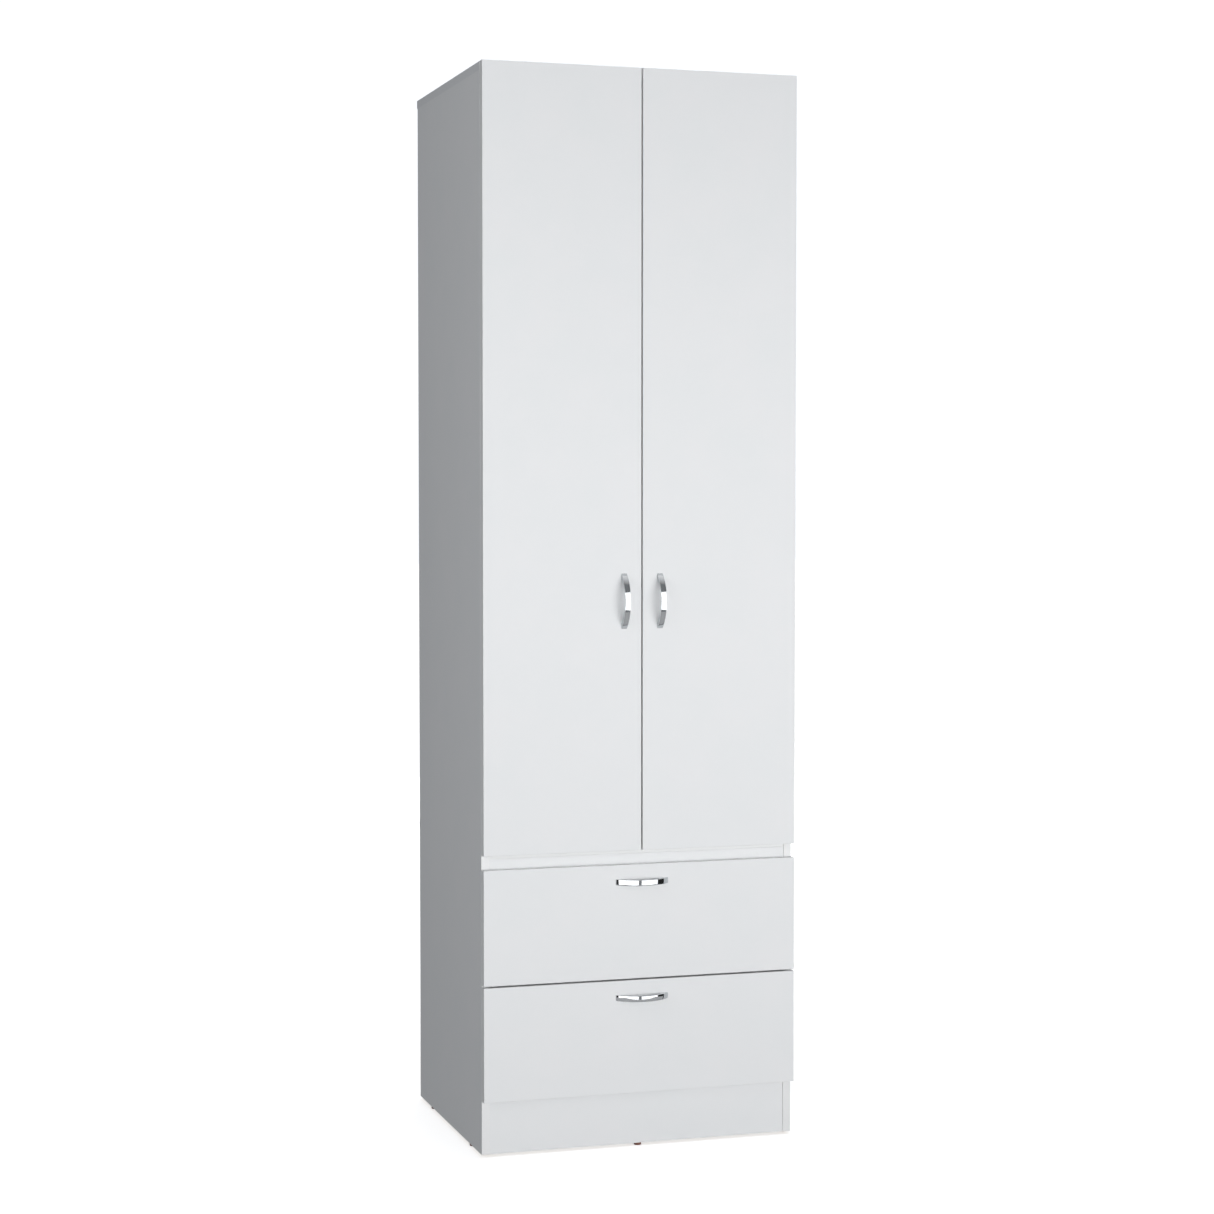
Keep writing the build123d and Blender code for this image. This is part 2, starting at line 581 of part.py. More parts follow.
def make_hinge_screws():
    """Two screws through each plate into the side, and one that holds the arm on its block."""
    with BuildPart() as screws:
        for side, z in HINGES:
            for rise in (-PLATE_SCREW_RISE, PLATE_SCREW_RISE):
                start = (side * (INNER_X - PLATE_HEIGHT), CARCASS_Y + PLATE_SETBACK, z + rise)
                screw(start, (side, 0, 0), PLATE_SCREW_RADIUS, PLATE_SCREW_LENGTH, *LARGE_HEAD)
            lock_x, lock_y = hinge_point(side, (ARM_BACK, LOCK_SCREW_Y))
            screw((lock_x, lock_y, z), (side, 0, 0), LOCK_SCREW_RADIUS, LOCK_SCREW_LENGTH, *LOCK_HEAD)
    publish(screws, "hinge_plate_screws")


def make_hinge_links(name, side):
    """Bowed links, one per hinge, that join each arm to its cup."""
    arm_end = hinge_point(side, ARM_PIVOT)
    cup_end = hinge_point(side, CUP_PIVOT)
    bend = hinge_point(side, LINK_BEND)
    with BuildPart() as links:
        for z in HINGE_HEIGHTS:
            with BuildSketch(Plane.XY.offset(z - LINK_HALF_HEIGHT)):
                SlotArc(ThreePointArc(arm_end, bend, cup_end, mode=Mode.PRIVATE), 2 * LINK_HALF_WIDTH)
                with Locations(arm_end, cup_end):
                    Circle(PIN_RADIUS + PIN_CLEARANCE, mode=Mode.SUBTRACT)
            extrude(amount=2 * LINK_HALF_HEIGHT)
    publish(links, name)


def make_hinge_pins(name, hinges, pivot, reach):
    """One pin per hinge at a pivot."""
    with BuildPart() as pins:
        for side, z in hinges:
            x, y = hinge_point(side, pivot)
            rod((x, y, z - reach), (0, 0, 1), PIN_RADIUS, 2 * reach)
    publish(pins, name)


def make_hinge_cups(name, side):
    """Pressed cups in the door, each with a flange, two screw ears and two lugs for its pin."""
    cup_x = side * (HALF_WIDTH - CUP_INSET)
    ear_x = side * (HALF_WIDTH - CUP_SCREW_INSET)
    lug_x, lug_y = hinge_point(side, CUP_PIVOT)
    floor_y = DOOR_BACK_Y - CUP_DEPTH
    with BuildPart() as cups:
        for z in HINGE_HEIGHTS:
            rod((cup_x, floor_y, z), (0, 1, 0), CUP_RADIUS, CUP_DEPTH)
            rod((cup_x, DOOR_BACK_Y, z), (0, 1, 0), CUP_RIM_RADIUS, CUP_FLANGE)
            slab(
                (ear_x - CUP_EAR_RADIUS, DOOR_BACK_Y, z - CUP_SCREW_RISE),
                (ear_x + CUP_EAR_RADIUS, DOOR_BACK_Y + CUP_FLANGE, z + CUP_SCREW_RISE),
            )
            for rise in (-CUP_SCREW_RISE, CUP_SCREW_RISE):
                rod((ear_x, DOOR_BACK_Y, z + rise), (0, 1, 0), CUP_EAR_RADIUS, CUP_FLANGE)
            hollow = (cup_x, floor_y + CUP_WALL, z)
            bore(hollow, (0, 1, 0), CUP_RADIUS - CUP_WALL, CUP_DEPTH + CUP_MOUTH)
            for rise in (-CUP_SCREW_RISE, CUP_SCREW_RISE):
                bore((ear_x, DOOR_BACK_Y, z + rise), (0, 1, 0), CUP_SCREW_RADIUS, CUP_FLANGE)
            for low, high in ((-LUG_CHEEK[1], -LUG_CHEEK[0]), (LUG_CHEEK[0], LUG_CHEEK[1])):
                slab(
                    (lug_x - LUG_RADIUS, floor_y + CUP_WALL / 2, z + low),
                    (lug_x + LUG_RADIUS, lug_y, z + high),
                )
                rod((lug_x, lug_y, z + low), (0, 0, 1), LUG_RADIUS, high - low)
            bore((lug_x, lug_y, z - LUG_CHEEK[1]), (0, 0, 1), PIN_RADIUS, 2 * LUG_CHEEK[1])
    publish(cups, name)


def make_cup_screws(name, side):
    """Two screws per cup, through its ears into the door."""
    ear_x = side * (HALF_WIDTH - CUP_SCREW_INSET)
    with BuildPart() as screws:
        for z in HINGE_HEIGHTS:
            for rise in (-CUP_SCREW_RISE, CUP_SCREW_RISE):
                start = (ear_x, DOOR_BACK_Y + CUP_FLANGE, z + rise)
                screw(start, (0, -1, 0), CUP_SCREW_RADIUS, CUP_SCREW_LENGTH, *CUP_HEAD)
    publish(screws, name)


# ---------------------------------------------------------------- handles
def handle_centres(centre, upright):
    """Screw places of a handle on a front, as x and z."""
    x, z = centre
    half = HANDLE_PITCH / 2
    if upright:
        return [(x, z - half), (x, z + half)]
    return [(x - half, z), (x + half, z)]


def make_handle(name, centre, upright):
    """A cast bow: an arc that leaves the front at both ends, thin at its crown, thick at its feet."""
    half = HANDLE_LENGTH / 2
    foot = half - 2 * HANDLE_FOOT
    plane = Plane(
        origin=(centre[0], FRONT_Y, centre[1]),
        x_dir=(0, 0, 1) if upright else (1, 0, 0),
        z_dir=(-1, 0, 0) if upright else (0, 0, 1),
    )
    with BuildPart() as handle:
        with BuildSketch(plane.offset(-HANDLE_WIDTH / 2)):
            with BuildLine():
                ThreePointArc((-half, 0), (0, -HANDLE_RISE), (half, 0))
                Line((half, 0), (foot, 0))
                ThreePointArc((foot, 0), (0, HANDLE_THICKNESS - HANDLE_RISE), (-foot, 0))
                Line((-foot, 0), (-half, 0))
            make_face()
        extrude(amount=HANDLE_WIDTH)
        for x, z in handle_centres(centre, upright):
            bore((x, FRONT_Y, z), (0, -1, 0), HANDLE_SCREW_RADIUS, HANDLE_SCREW_GRIP)
    publish(handle, name)


def make_handle_screws(name, centre, upright):
    """Machine screws from behind the front into the handle's feet."""
    with BuildPart() as screws:
        for x, z in handle_centres(centre, upright):
            grip = BOARD + HANDLE_SCREW_GRIP
            screw((x, DOOR_BACK_Y, z), (0, -1, 0), HANDLE_SCREW_RADIUS, grip, *LARGE_HEAD)
    publish(screws, name)


# ---------------------------------------------------------------- doors
def make_door(name, side, handle_centre):
    """A door, bored for its cups and its handle."""
    xs = sorted((side * SPLIT_GAP / 2, side * HALF_WIDTH))
    with BuildPart() as door:
        slab((xs[0], FRONT_Y, DOOR_BOTTOM), (xs[1], DOOR_BACK_Y, HEIGHT))
        ease(door, Axis.Y, -1)
        ease(door, Axis.Y, 1)
        for z in HINGE_HEIGHTS:
            cup_x = side * (HALF_WIDTH - CUP_INSET)
            bore((cup_x, DOOR_BACK_Y, z), (0, -1, 0), CUP_RADIUS, CUP_DEPTH)
            for rise in (-CUP_SCREW_RISE, CUP_SCREW_RISE):
                start = (side * (HALF_WIDTH - CUP_SCREW_INSET), DOOR_BACK_Y, z + rise)
                bore(start, (0, -1, 0), CUP_SCREW_RADIUS, CUP_SCREW_LENGTH)
        for x, z in handle_centres(handle_centre, True):
            bore((x, DOOR_BACK_Y, z), (0, -1, 0), HANDLE_SCREW_RADIUS, BOARD)
    publish(door, name)


for side_name, side in SIDES:
    handle_centre = (side * (SPLIT_GAP / 2 + DOOR_HANDLE_INSET), DOOR_HANDLE_Z)
    make_door(f"{side_name}_door_panel", side, handle_centre)
    make_handle(f"{side_name}_door_handle", handle_centre, True)
    make_handle_screws(f"{side_name}_door_handle_screws", handle_centre, True)
    make_hinge_cups(f"{side_name}_hinge_cups", side)
    make_cup_screws(f"{side_name}_hinge_cup_screws", side)
    door_hinges = [(side, z) for z in HINGE_HEIGHTS]
    make_hinge_pins(f"{side_name}_hinge_cup_pins", door_hinges, CUP_PIVOT, LUG_CHEEK[1])
    make_hinge_links(f"{side_name}_hinge_links", side)

make_hinge_arms()
make_hinge_pins("hinge_arm_pins", HINGES, ARM_PIVOT, ARM_CHEEK[1])
make_hinge_plates()
make_hinge_screws()


# ---------------------------------------------------------------- runners
def channel(side, web_x, lip_x, half_height, centre_z, start_y):
    """A channel along Y: an upright web and two lips that turn towards lip_x."""
    end_y = start_y + RUNNER_LENGTH
    web = sorted((web_x, web_x + RUNNER_SHEET if lip_x > web_x else web_x - RUNNER_SHEET))
    lips = sorted((web_x, lip_x))
    places = [side * x for x in web]
    slab(
        (min(places), start_y, centre_z - half_height),
        (max(places), end_y, centre_z + half_height),
    )
    places = [side * x for x in lips]
    for sign in (-1, 1):
        edge = centre_z + sign * half_height
        inner = edge - sign * RUNNER_SHEET
        slab((min(places), start_y, min(edge, inner)), (max(places), end_y, max(edge, inner)))


def make_runner(name, web_x, lip_x, half_height, fronts, screw_x, screw_ys):
    """One member of the left and right runners of each drawer whose front is given."""
    with BuildPart() as members:
        for _, side in SIDES:
            for front in fronts:
                centre_z = runner_height(front)
                channel(side, web_x, lip_x, half_height, centre_z, RUNNER_START_Y)
                for y in screw_ys:
                    start = (side * screw_x, y, centre_z)
                    bore(start, (-side, 0, 0), RUNNER_SCREW_RADIUS, RUNNER_SHEET)
    publish(members, name)


make_runner(
    "runner_cabinet_members",
    CABINET_WEB_X,
    CABINET_LIP_X,
    RUNNER_HALF_HEIGHT,
    [front for _, front in DRAWERS],
    CABINET_WEB_X,
    RUNNER_SCREW_YS,
)

with BuildPart() as side_panel_screws:
    for _, side in SIDES:
        for rise in (-SOCKET_SCREW_RISE, SOCKET_SCREW_RISE):
            start = (side * (INNER_X - SOCKET_FLANGE), ROD_Y, ROD_Z + rise)
            screw(start, (side, 0, 0), RUNNER_SCREW_RADIUS, RUNNER_SCREW_LENGTH, *SOCKET_HEAD)
        for _, front in DRAWERS:
            for y in RUNNER_SCREW_YS:
                start = (side * (CABINET_WEB_X - RUNNER_SHEET), y, runner_height(front))
                screw(start, (side, 0, 0), RUNNER_SCREW_RADIUS, RUNNER_SCREW_LENGTH, *RUNNER_HEAD)
publish(side_panel_screws, "side_panel_screws")


# ---------------------------------------------------------------- drawers
def make_drawer(name, front):
    """A drawer: front, two sides, back and bottom, with its fixings and runner members."""
    front_low, front_high = front
    box_low = front_low + BOX_LIFT
    box_high = box_low + BOX_HEIGHT
    box_back = DOOR_BACK_Y + BOX_LENGTH
    inner_half = BOX_HALF_WIDTH - BOX_BOARD
    floor_low = box_low + GROOVE_LIFT
    floor_high = floor_low + HARDBOARD
    groove_half = inner_half + GROOVE_DEPTH
    groove_low = floor_low - GROOVE_CLEARANCE / 2
    groove_high = floor_high + GROOVE_CLEARANCE / 2
    runner_z = runner_height(front)
    handle_centre = (0.0, front_high - DRAWER_HANDLE_DROP)
    cam_zs = (box_low + FRONT_CAM_RISE, box_high - FRONT_CAM_RISE)
    corner_zs = (box_low + CORNER_SCREW_RISE, box_high - CORNER_SCREW_DROP)

    with BuildPart() as drawer_front:
        slab((-HALF_WIDTH, FRONT_Y, front_low), (HALF_WIDTH, DOOR_BACK_Y, front_high))
        ease(drawer_front, Axis.Y, -1)
        ease(drawer_front, Axis.Y, 1)
        slab(
            (-groove_half, DOOR_BACK_Y - GROOVE_DEPTH, groove_low),
            (groove_half, DOOR_BACK_Y, groove_high),
            Mode.SUBTRACT,
        )
        for x, z in handle_centres(handle_centre, False):
            bore((x, DOOR_BACK_Y, z), (0, -1, 0), HANDLE_SCREW_RADIUS, BOARD)
        for _, side in SIDES:
            for z in cam_zs:
                start = (side * (BOX_HALF_WIDTH - BOX_BOARD / 2), DOOR_BACK_Y, z)
                bore(start, (0, -1, 0), FRONT_BOLT_RADIUS, BOLT_GRIP)
    publish(drawer_front, f"{name}_drawer_front")
    make_handle(f"{name}_drawer_handle", handle_centre, False)
    make_handle_screws(f"{name}_drawer_handle_screws", handle_centre, False)

    for side_name, side in SIDES:
        xs = sorted((side * inner_half, side * BOX_HALF_WIDTH))
        with BuildPart() as drawer_side:
            slab((xs[0], DOOR_BACK_Y, box_low), (xs[1], box_back, box_high))
            ease(drawer_side, Axis.Z, 1)
            grooves = sorted((side * inner_half, side * groove_half))
            slab((grooves[0], DOOR_BACK_Y, groove_low), (grooves[1], box_back, groove_high), Mode.SUBTRACT)
            for z in cam_zs:
                start = (side * inner_half, DOOR_BACK_Y + FRONT_CAM_REACH, z)
                bore(start, (side, 0, 0), FRONT_CAM_RADIUS, FRONT_CAM_DEPTH)
                middle = (side * (BOX_HALF_WIDTH - BOX_BOARD / 2), DOOR_BACK_Y, z)
                bore(middle, (0, 1, 0), FRONT_BOLT_RADIUS, FRONT_CAM_REACH)
            for z in corner_zs:
                start = (side * BOX_HALF_WIDTH, box_back - BOX_BOARD / 2, z)
                bore(start, (-side, 0, 0), CORNER_SCREW_RADIUS, BOX_BOARD)
                bore(start, (-side, 0, 0), CORNER_HEAD_RADIUS, CORNER_HEAD)
            for y in DRAWER_SCREW_YS:
                start = (side * BOX_HALF_WIDTH, y, runner_z)
                bore(start, (-side, 0, 0), RUNNER_SCREW_RADIUS, DRAWER_SCREW_LENGTH)
        publish(drawer_side, f"{name}_drawer_{side_name}_side")

    with BuildPart() as drawer_back:
        slab((-inner_half, box_back - BOX_BOARD, groove_high), (inner_half, box_back, box_high))
        ease(drawer_back, Axis.Z, 1)
        for _, side in SIDES:
            for z in corner_zs:
                start = (side * inner_half, box_back - BOX_BOARD / 2, z)
                bore(start, (-side, 0, 0), CORNER_SCREW_RADIUS, CORNER_SCREW_LENGTH)
    publish(drawer_back, f"{name}_drawer_back")

    with BuildPart() as drawer_bottom:
        slab(
            (-groove_half + GROOVE_CLEARANCE, DOOR_BACK_Y - GROOVE_DEPTH + GROOVE_CLEARANCE, floor_low),
            (groove_half - GROOVE_CLEARANCE, box_back, floor_high),
        )
    publish(drawer_bottom, f"{name}_drawer_bottom")

    with BuildPart() as drawer_fixings:
        for _, side in SIDES:
            for z in cam_zs:
                mouth = (side * inner_half, DOOR_BACK_Y + FRONT_CAM_REACH, z)
                rod(mouth, (side, 0, 0), FRONT_CAM_RADIUS, FRONT_CAM_DEPTH)
                cross_slot(Plane(origin=mouth, z_dir=(side, 0, 0)), *FRONT_CAM_SLOT)
                middle = (side * (BOX_HALF_WIDTH - BOX_BOARD / 2), DOOR_BACK_Y - BOLT_GRIP, z)
                rod(middle, (0, 1, 0), FRONT_BOLT_RADIUS, BOLT_GRIP + FRONT_CAM_REACH - FRONT_CAM_RADIUS)
            for z in corner_zs:
                start = (side * (BOX_HALF_WIDTH - CORNER_HEAD), box_back - BOX_BOARD / 2, z)
                screw(
                    start,
                    (-side, 0, 0),
                    CORNER_SCREW_RADIUS,
                    BOX_BOARD - CORNER_HEAD + CORNER_SCREW_LENGTH,
                    CORNER_HEAD_RADIUS,
                    CORNER_HEAD - CORNER_HEAD_SINK,
                )
            for y in DRAWER_SCREW_YS:
                start = (side * (DRAWER_WEB_X + RUNNER_SHEET), y, runner_z)
                grip = DRAWER_SCREW_LENGTH + RUNNER_SHEET
                screw(start, (-side, 0, 0), RUNNER_SCREW_RADIUS, grip, *RUNNER_HEAD)
    publish(drawer_fixings, f"{name}_drawer_fixings")

    make_runner(
        f"{name}_runner_middle_members",
        MIDDLE_WEB_X,
        MIDDLE_LIP_X,
        MIDDLE_HALF_HEIGHT,
        [front],
        MIDDLE_WEB_X,
        (),
    )
    make_runner(
        f"{name}_runner_drawer_members",
        DRAWER_WEB_X,
        DRAWER_LIP_X,
        DRAWER_HALF_HEIGHT,
        [front],
        DRAWER_WEB_X + RUNNER_SHEET,
        DRAWER_SCREW_YS,
    )


for drawer_name, drawer_front_span in DRAWERS:
    make_drawer(drawer_name, drawer_front_span)
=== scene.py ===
"""Looks of a white two-door wardrobe with two drawers, built round its CAD frame.

Laid out as an add-on: property groups hold the sizes and colours, one operator finishes or
makes each kind of piece, and one builds the studio. Metres throughout, +Z up, front at -Y.
"""

import math

import bmesh
import bpy
from bpy.props import FloatProperty, FloatVectorProperty, PointerProperty
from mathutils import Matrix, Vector


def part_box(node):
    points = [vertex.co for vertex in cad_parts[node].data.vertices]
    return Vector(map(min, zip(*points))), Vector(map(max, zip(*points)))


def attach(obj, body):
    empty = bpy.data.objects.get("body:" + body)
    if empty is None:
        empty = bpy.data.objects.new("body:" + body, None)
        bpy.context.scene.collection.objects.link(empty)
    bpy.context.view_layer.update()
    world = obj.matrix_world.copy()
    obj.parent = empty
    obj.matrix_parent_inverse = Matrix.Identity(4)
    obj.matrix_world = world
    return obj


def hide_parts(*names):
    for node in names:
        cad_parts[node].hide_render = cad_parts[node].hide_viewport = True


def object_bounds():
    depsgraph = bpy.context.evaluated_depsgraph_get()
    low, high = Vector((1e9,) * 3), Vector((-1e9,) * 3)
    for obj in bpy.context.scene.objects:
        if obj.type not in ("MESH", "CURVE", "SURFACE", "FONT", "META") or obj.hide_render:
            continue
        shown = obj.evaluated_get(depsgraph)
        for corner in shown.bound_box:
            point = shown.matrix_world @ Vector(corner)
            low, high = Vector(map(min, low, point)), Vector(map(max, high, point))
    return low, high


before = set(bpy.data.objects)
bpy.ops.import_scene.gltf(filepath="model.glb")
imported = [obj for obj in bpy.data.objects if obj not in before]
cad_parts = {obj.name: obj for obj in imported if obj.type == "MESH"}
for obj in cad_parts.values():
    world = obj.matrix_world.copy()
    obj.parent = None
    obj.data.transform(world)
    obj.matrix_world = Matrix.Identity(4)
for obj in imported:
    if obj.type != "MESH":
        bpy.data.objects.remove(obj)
CAD_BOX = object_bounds()

bl_info = {
    "name": "Two-door wardrobe",
    "version": (1, 0, 0),
    "blender": (4, 5, 0),
    "location": "3D View > Sidebar > Wardrobe",
    "description": "Finishes, handles and studio of a white melamine wardrobe",
    "category": "Object",
}

MM = 0.001
DOORS = ("left", "right")
DRAWERS = ("upper", "lower")

# A face counts as facing an axis when it is within about 45 degrees of it.
FACING_LIMIT = 0.7

# Steps along each bow handle, round each of its corners and across its outer face.
BOW_STATIONS = 72
CORNER_STEPS = 6
FACE_STEPS = 6

# Stage: half the floor's width, the height range of the upright cards and their facets.
FLOOR_REACH = 40.0
CARD_FOOT, CARD_HEAD = -0.29, 2.13
CARD_FACETS = 24
LEVEL_CARD_HALF_WIDTH = 1.6

# The floor's glow rises from near to far between these distances from the origin.
FLOOR_GLOW_FROM, FLOOR_GLOW_TO = 0.5, 1.6
FLOOR_GLOW_NEAR, FLOOR_GLOW_FAR = 0.62, 1.02

# The surround: how bright it is to the camera, and the slightly cool colour of its light.
SURROUND_TO_CAMERA = 1.06
SURROUND_COLOUR = (0.965, 0.985, 1.02)

# Full-frame camera.
SENSOR_WIDTH = 36
FARTHEST_SEEN = 100


def srgb(hex_colour):
    """A hex colour such as #A1B2C3 as linear red, green and blue."""
    channels = [int(hex_colour[i : i + 2], 16) / 255 for i in (1, 3, 5)]
    return tuple(c / 12.92 if c <= 0.04045 else ((c + 0.055) / 1.055) ** 2.4 for c in channels)


def per_metre(size):
    """Texture scale whose features are about this many metres across."""
    return 1 / size


# ---------------------------------------------------------------- settings
def colour(name, description, hex_colour):
    """A colour setting, given as sRGB hex."""
    return FloatVectorProperty(
        name=name,
        description=description,
        subtype="COLOR",
        size=3,
        min=0,
        max=1,
        default=srgb(hex_colour),
    )


def length(name, description, metres):
    """A length setting."""
    return FloatProperty(
        name=name, description=description, unit="LENGTH", min=0, default=metres, precision=5
    )


def power(name, description, watts):
    """A light's power setting."""
    return FloatProperty(name=name, description=description, unit="POWER", default=watts)


class WardrobeFinishes(bpy.types.PropertyGroup):
    """Colours and pattern sizes of the wardrobe's materials."""

    melamine: colour("Melamine", "White decor paper of the boards", "#EFF0F1")
    melamine_shade: colour("Melamine shade", "The paper's slightly cooler cloud", "#EDEFF0")
    edging: colour("Edging", "ABS strip on the boards' visible edges", "#F1F2F2")
    # Painted shade: the greyer strip on the ends of the top stands in for the shade that falls
    # there.
    end_edging_painted_shade: colour("End edging", "Greyer ABS strip on the ends of the top", "#E6E8EA")
    chip_light: colour("Light chips", "Pale chips in a raw board edge", "#D3B386")
    chip_dark: colour("Dark chips", "Brown chips in a raw board edge", "#8E6C45")
    lacquer: colour("Lacquer", "White lacquer on the hardboard's inner face", "#E9E9E6")
    fibre_light: colour("Light fibre", "Pale fibres of the hardboard's raw face", "#B08A60")
    fibre_dark: colour("Dark fibre", "Brown fibres of the hardboard's raw face", "#8C6845")
    chrome: colour("Chrome", "Polished chrome plate", "#C9CCCF")
    nickel: colour("Nickel", "Nickel plate on the hinges", "#C9C5BE")
    zinc_plate: colour("Zinc plate", "Bright zinc plate on runners and screws", "#C8CACC")
    zinc_cloud: colour("Zinc cloud", "Duller patches of the zinc plate", "#B4B7BA")
    zinc_cast: colour("Cast zinc", "Die-cast zinc of cams and rod sockets", "#A2A3A4")
    glide: colour("Glide", "Moulded brown polyethylene", "#80564A")
    profile: colour("Joining strip", "Extruded white PVC", "#E6E7E8")
    beech: colour("Beech", "Turned beech dowel", "#C9A57A")
    beech_grain: colour("Beech grain", "Fine dark flecks of beech", "#A47E55")
    pearl_grain: length("Pearl grain", "Size of the melamine's embossed pearl grain", 1.6 * MM)
    chip_size: length("Chip size", "Size of the chips in a raw board edge", 2.6 * MM)
    screen_pitch: length("Screen pitch", "Spacing of the screen marks on raw hardboard", 3.0 * MM)
    draw_lines: length("Draw lines", "Spacing of the lines that rolling leaves on steel", 0.7 * MM)


class WardrobeHandleSizes(bpy.types.PropertyGroup):
    """Sizes of the cast bow handles that the frame doesn't give."""

    crown_thickness: length("Crown thickness", "Thickness at the middle of the bow", 2.5 * MM)
    foot_length: length("Foot length", "Length of each foot on the front", 10.0 * MM)
    edge_radius: length("Edge radius", "Rounding of the bow's long edges", 0.8 * MM)
    face_crown: length("Face crown", "How far the outer face bulges across its width", 0.25 * MM)


class WardrobeStudio(bpy.types.PropertyGroup):
    """Camera, floor and light of the studio."""

    lens: FloatProperty(name="Lens", description="Focal length in millimetres", default=76.19)
    eye: FloatVectorProperty(
        name="Eye",
        description="Where the camera stands",
        unit="LENGTH",
        default=(-1.4415, -4.6378, 1.1824),
    )
    yaw: FloatProperty(
        name="Yaw", description="Turn to the right", subtype="ANGLE", default=math.radians(17.356)
    )
    pitch: FloatProperty(
        name="Pitch", description="Tilt upwards", subtype="ANGLE", default=math.radians(-2.441)
    )
    key_power: power("Key power", "Soft light in front", 318)
    top_power: power("Top power", "Soft light overhead", 26)
    rear_power: power("Rear power", "Soft light behind", 150)
    fill_power: power("Fill power", "Weak light at left", 8.1)
    ambient: FloatProperty(name="Ambient", description="Even light from all round", default=0.255)
    card_radius: length("Card radius", "Distance of the cards that the chrome mirrors", 2.5)
    floor: colour("Floor", "Matt pale floor", "#F2F2F2")


def finishes():
    """The scene's finish settings."""
    return bpy.context.scene.wardrobe_finishes


# ---------------------------------------------------------------- material nodes
def add_node(tree, kind, settings=None, values=None, links=None):
    """Adds a node with its settings, socket values and incoming links."""
    node = tree.nodes.new(kind)
    for name, value in (settings or {}).items():
        setattr(node, name, value)
    for socket, value in (values or {}).items():
        node.inputs[socket].default_value = value
    for socket, source in (links or {}).items():
        tree.links.new(source, node.inputs[socket])
    return node


def new_material(name, values):
    """A material with its Principled shader set, and the object coordinates that patterns use."""
    material = bpy.data.materials.new(name)
    material.use_nodes = True
    tree = material.node_tree
    tree.nodes.clear()
    shader = add_node(tree, "ShaderNodeBsdfPrincipled", values=values)
    add_node(tree, "ShaderNodeOutputMaterial", links={"Surface": shader.outputs["BSDF"]})
    coords = add_node(tree, "ShaderNodeTexCoord")
    return material, tree, shader, coords


def rgba(colour_value):
    """A colour with full alpha."""
    return (*colour_value, 1.0)


def cloud(tree, vector, size, low, high, detail=3.0):
    """Noise of a real size, mapped to lie between two values."""
    noise = add_node(
        tree,
        "ShaderNodeTexNoise",
        values={"Scale": per_metre(size), "Detail": detail, "Roughness": 0.55},
        links={"Vector": vector},
    )
    spread = add_node(
        tree,
        "ShaderNodeMapRange",
        values={"From Min": 0.3, "From Max": 0.7, "To Min": low, "To Max": high},
        links={"Value": noise.outputs["Fac"]},
    )
    return spread.outputs["Result"]


def blend_colours(tree, factor, first, second):
    """A mix of two colours, each a value or a socket."""
    mix = add_node(tree, "ShaderNodeMix", {"data_type": "RGBA"}, links={0: factor})
    for socket, value in ((6, first), (7, second)):
        if isinstance(value, bpy.types.NodeSocket):
            tree.links.new(value, mix.inputs[socket])
        else:
            mix.inputs[socket].default_value = rgba(value)
    return mix.outputs[2]


def blend_values(tree, factor, first, second):
    """A mix of two numbers, each a value or a socket."""
    mix = add_node(tree, "ShaderNodeMix", links={0: factor})
    for socket, value in ((2, first), (3, second)):
        if isinstance(value, bpy.types.NodeSocket):
            tree.links.new(value, mix.inputs[socket])
        else:
            mix.inputs[socket].default_value = value
    return mix.outputs[0]


def facing(tree, coords, faces):
    """1 on the faces that look along any of the signed axes given, such as +Y or -Z, else 0."""
    parts = add_node(tree, "ShaderNodeSeparateXYZ", links={"Vector": coords.outputs["Normal"]})
    found = None
    for face in faces:
        sign = 1.0 if face[0] == "+" else -1.0
        toward = add_node(
            tree,
            "ShaderNodeMath",
            {"operation": "MULTIPLY"},
            {1: sign},
            {0: parts.outputs[face[1]]},
        )
        mask = add_node(
            tree,
            "ShaderNodeMath",
            {"operation": "GREATER_THAN"},
            {1: FACING_LIMIT},
            {0: toward.outputs[0]},
        )
        if found is None:
            found = mask.outputs[0]
        else:
            both = add_node(
                tree,
                "ShaderNodeMath",
                {"operation": "MAXIMUM"},
                links={0: found, 1: mask.outputs[0]},
            )
            found = both.outputs[0]
    return found


def bump(tree, shader, height, distance, strength=1.0):
    """Gives the shader a bump of a real height."""
    node = add_node(
        tree,
        "ShaderNodeBump",
        values={"Strength": strength, "Distance": distance},
        links={"Height": height},
    )
    tree.links.new(node.outputs["Normal"], shader.inputs["Normal"])


def stretched(tree, vector, scale):
    """Coordinates scaled along each axis, for patterns that run one way."""
    mapping = add_node(tree, "ShaderNodeMapping", values={"Scale": scale}, links={"Vector": vector})
    return mapping.outputs["Vector"]


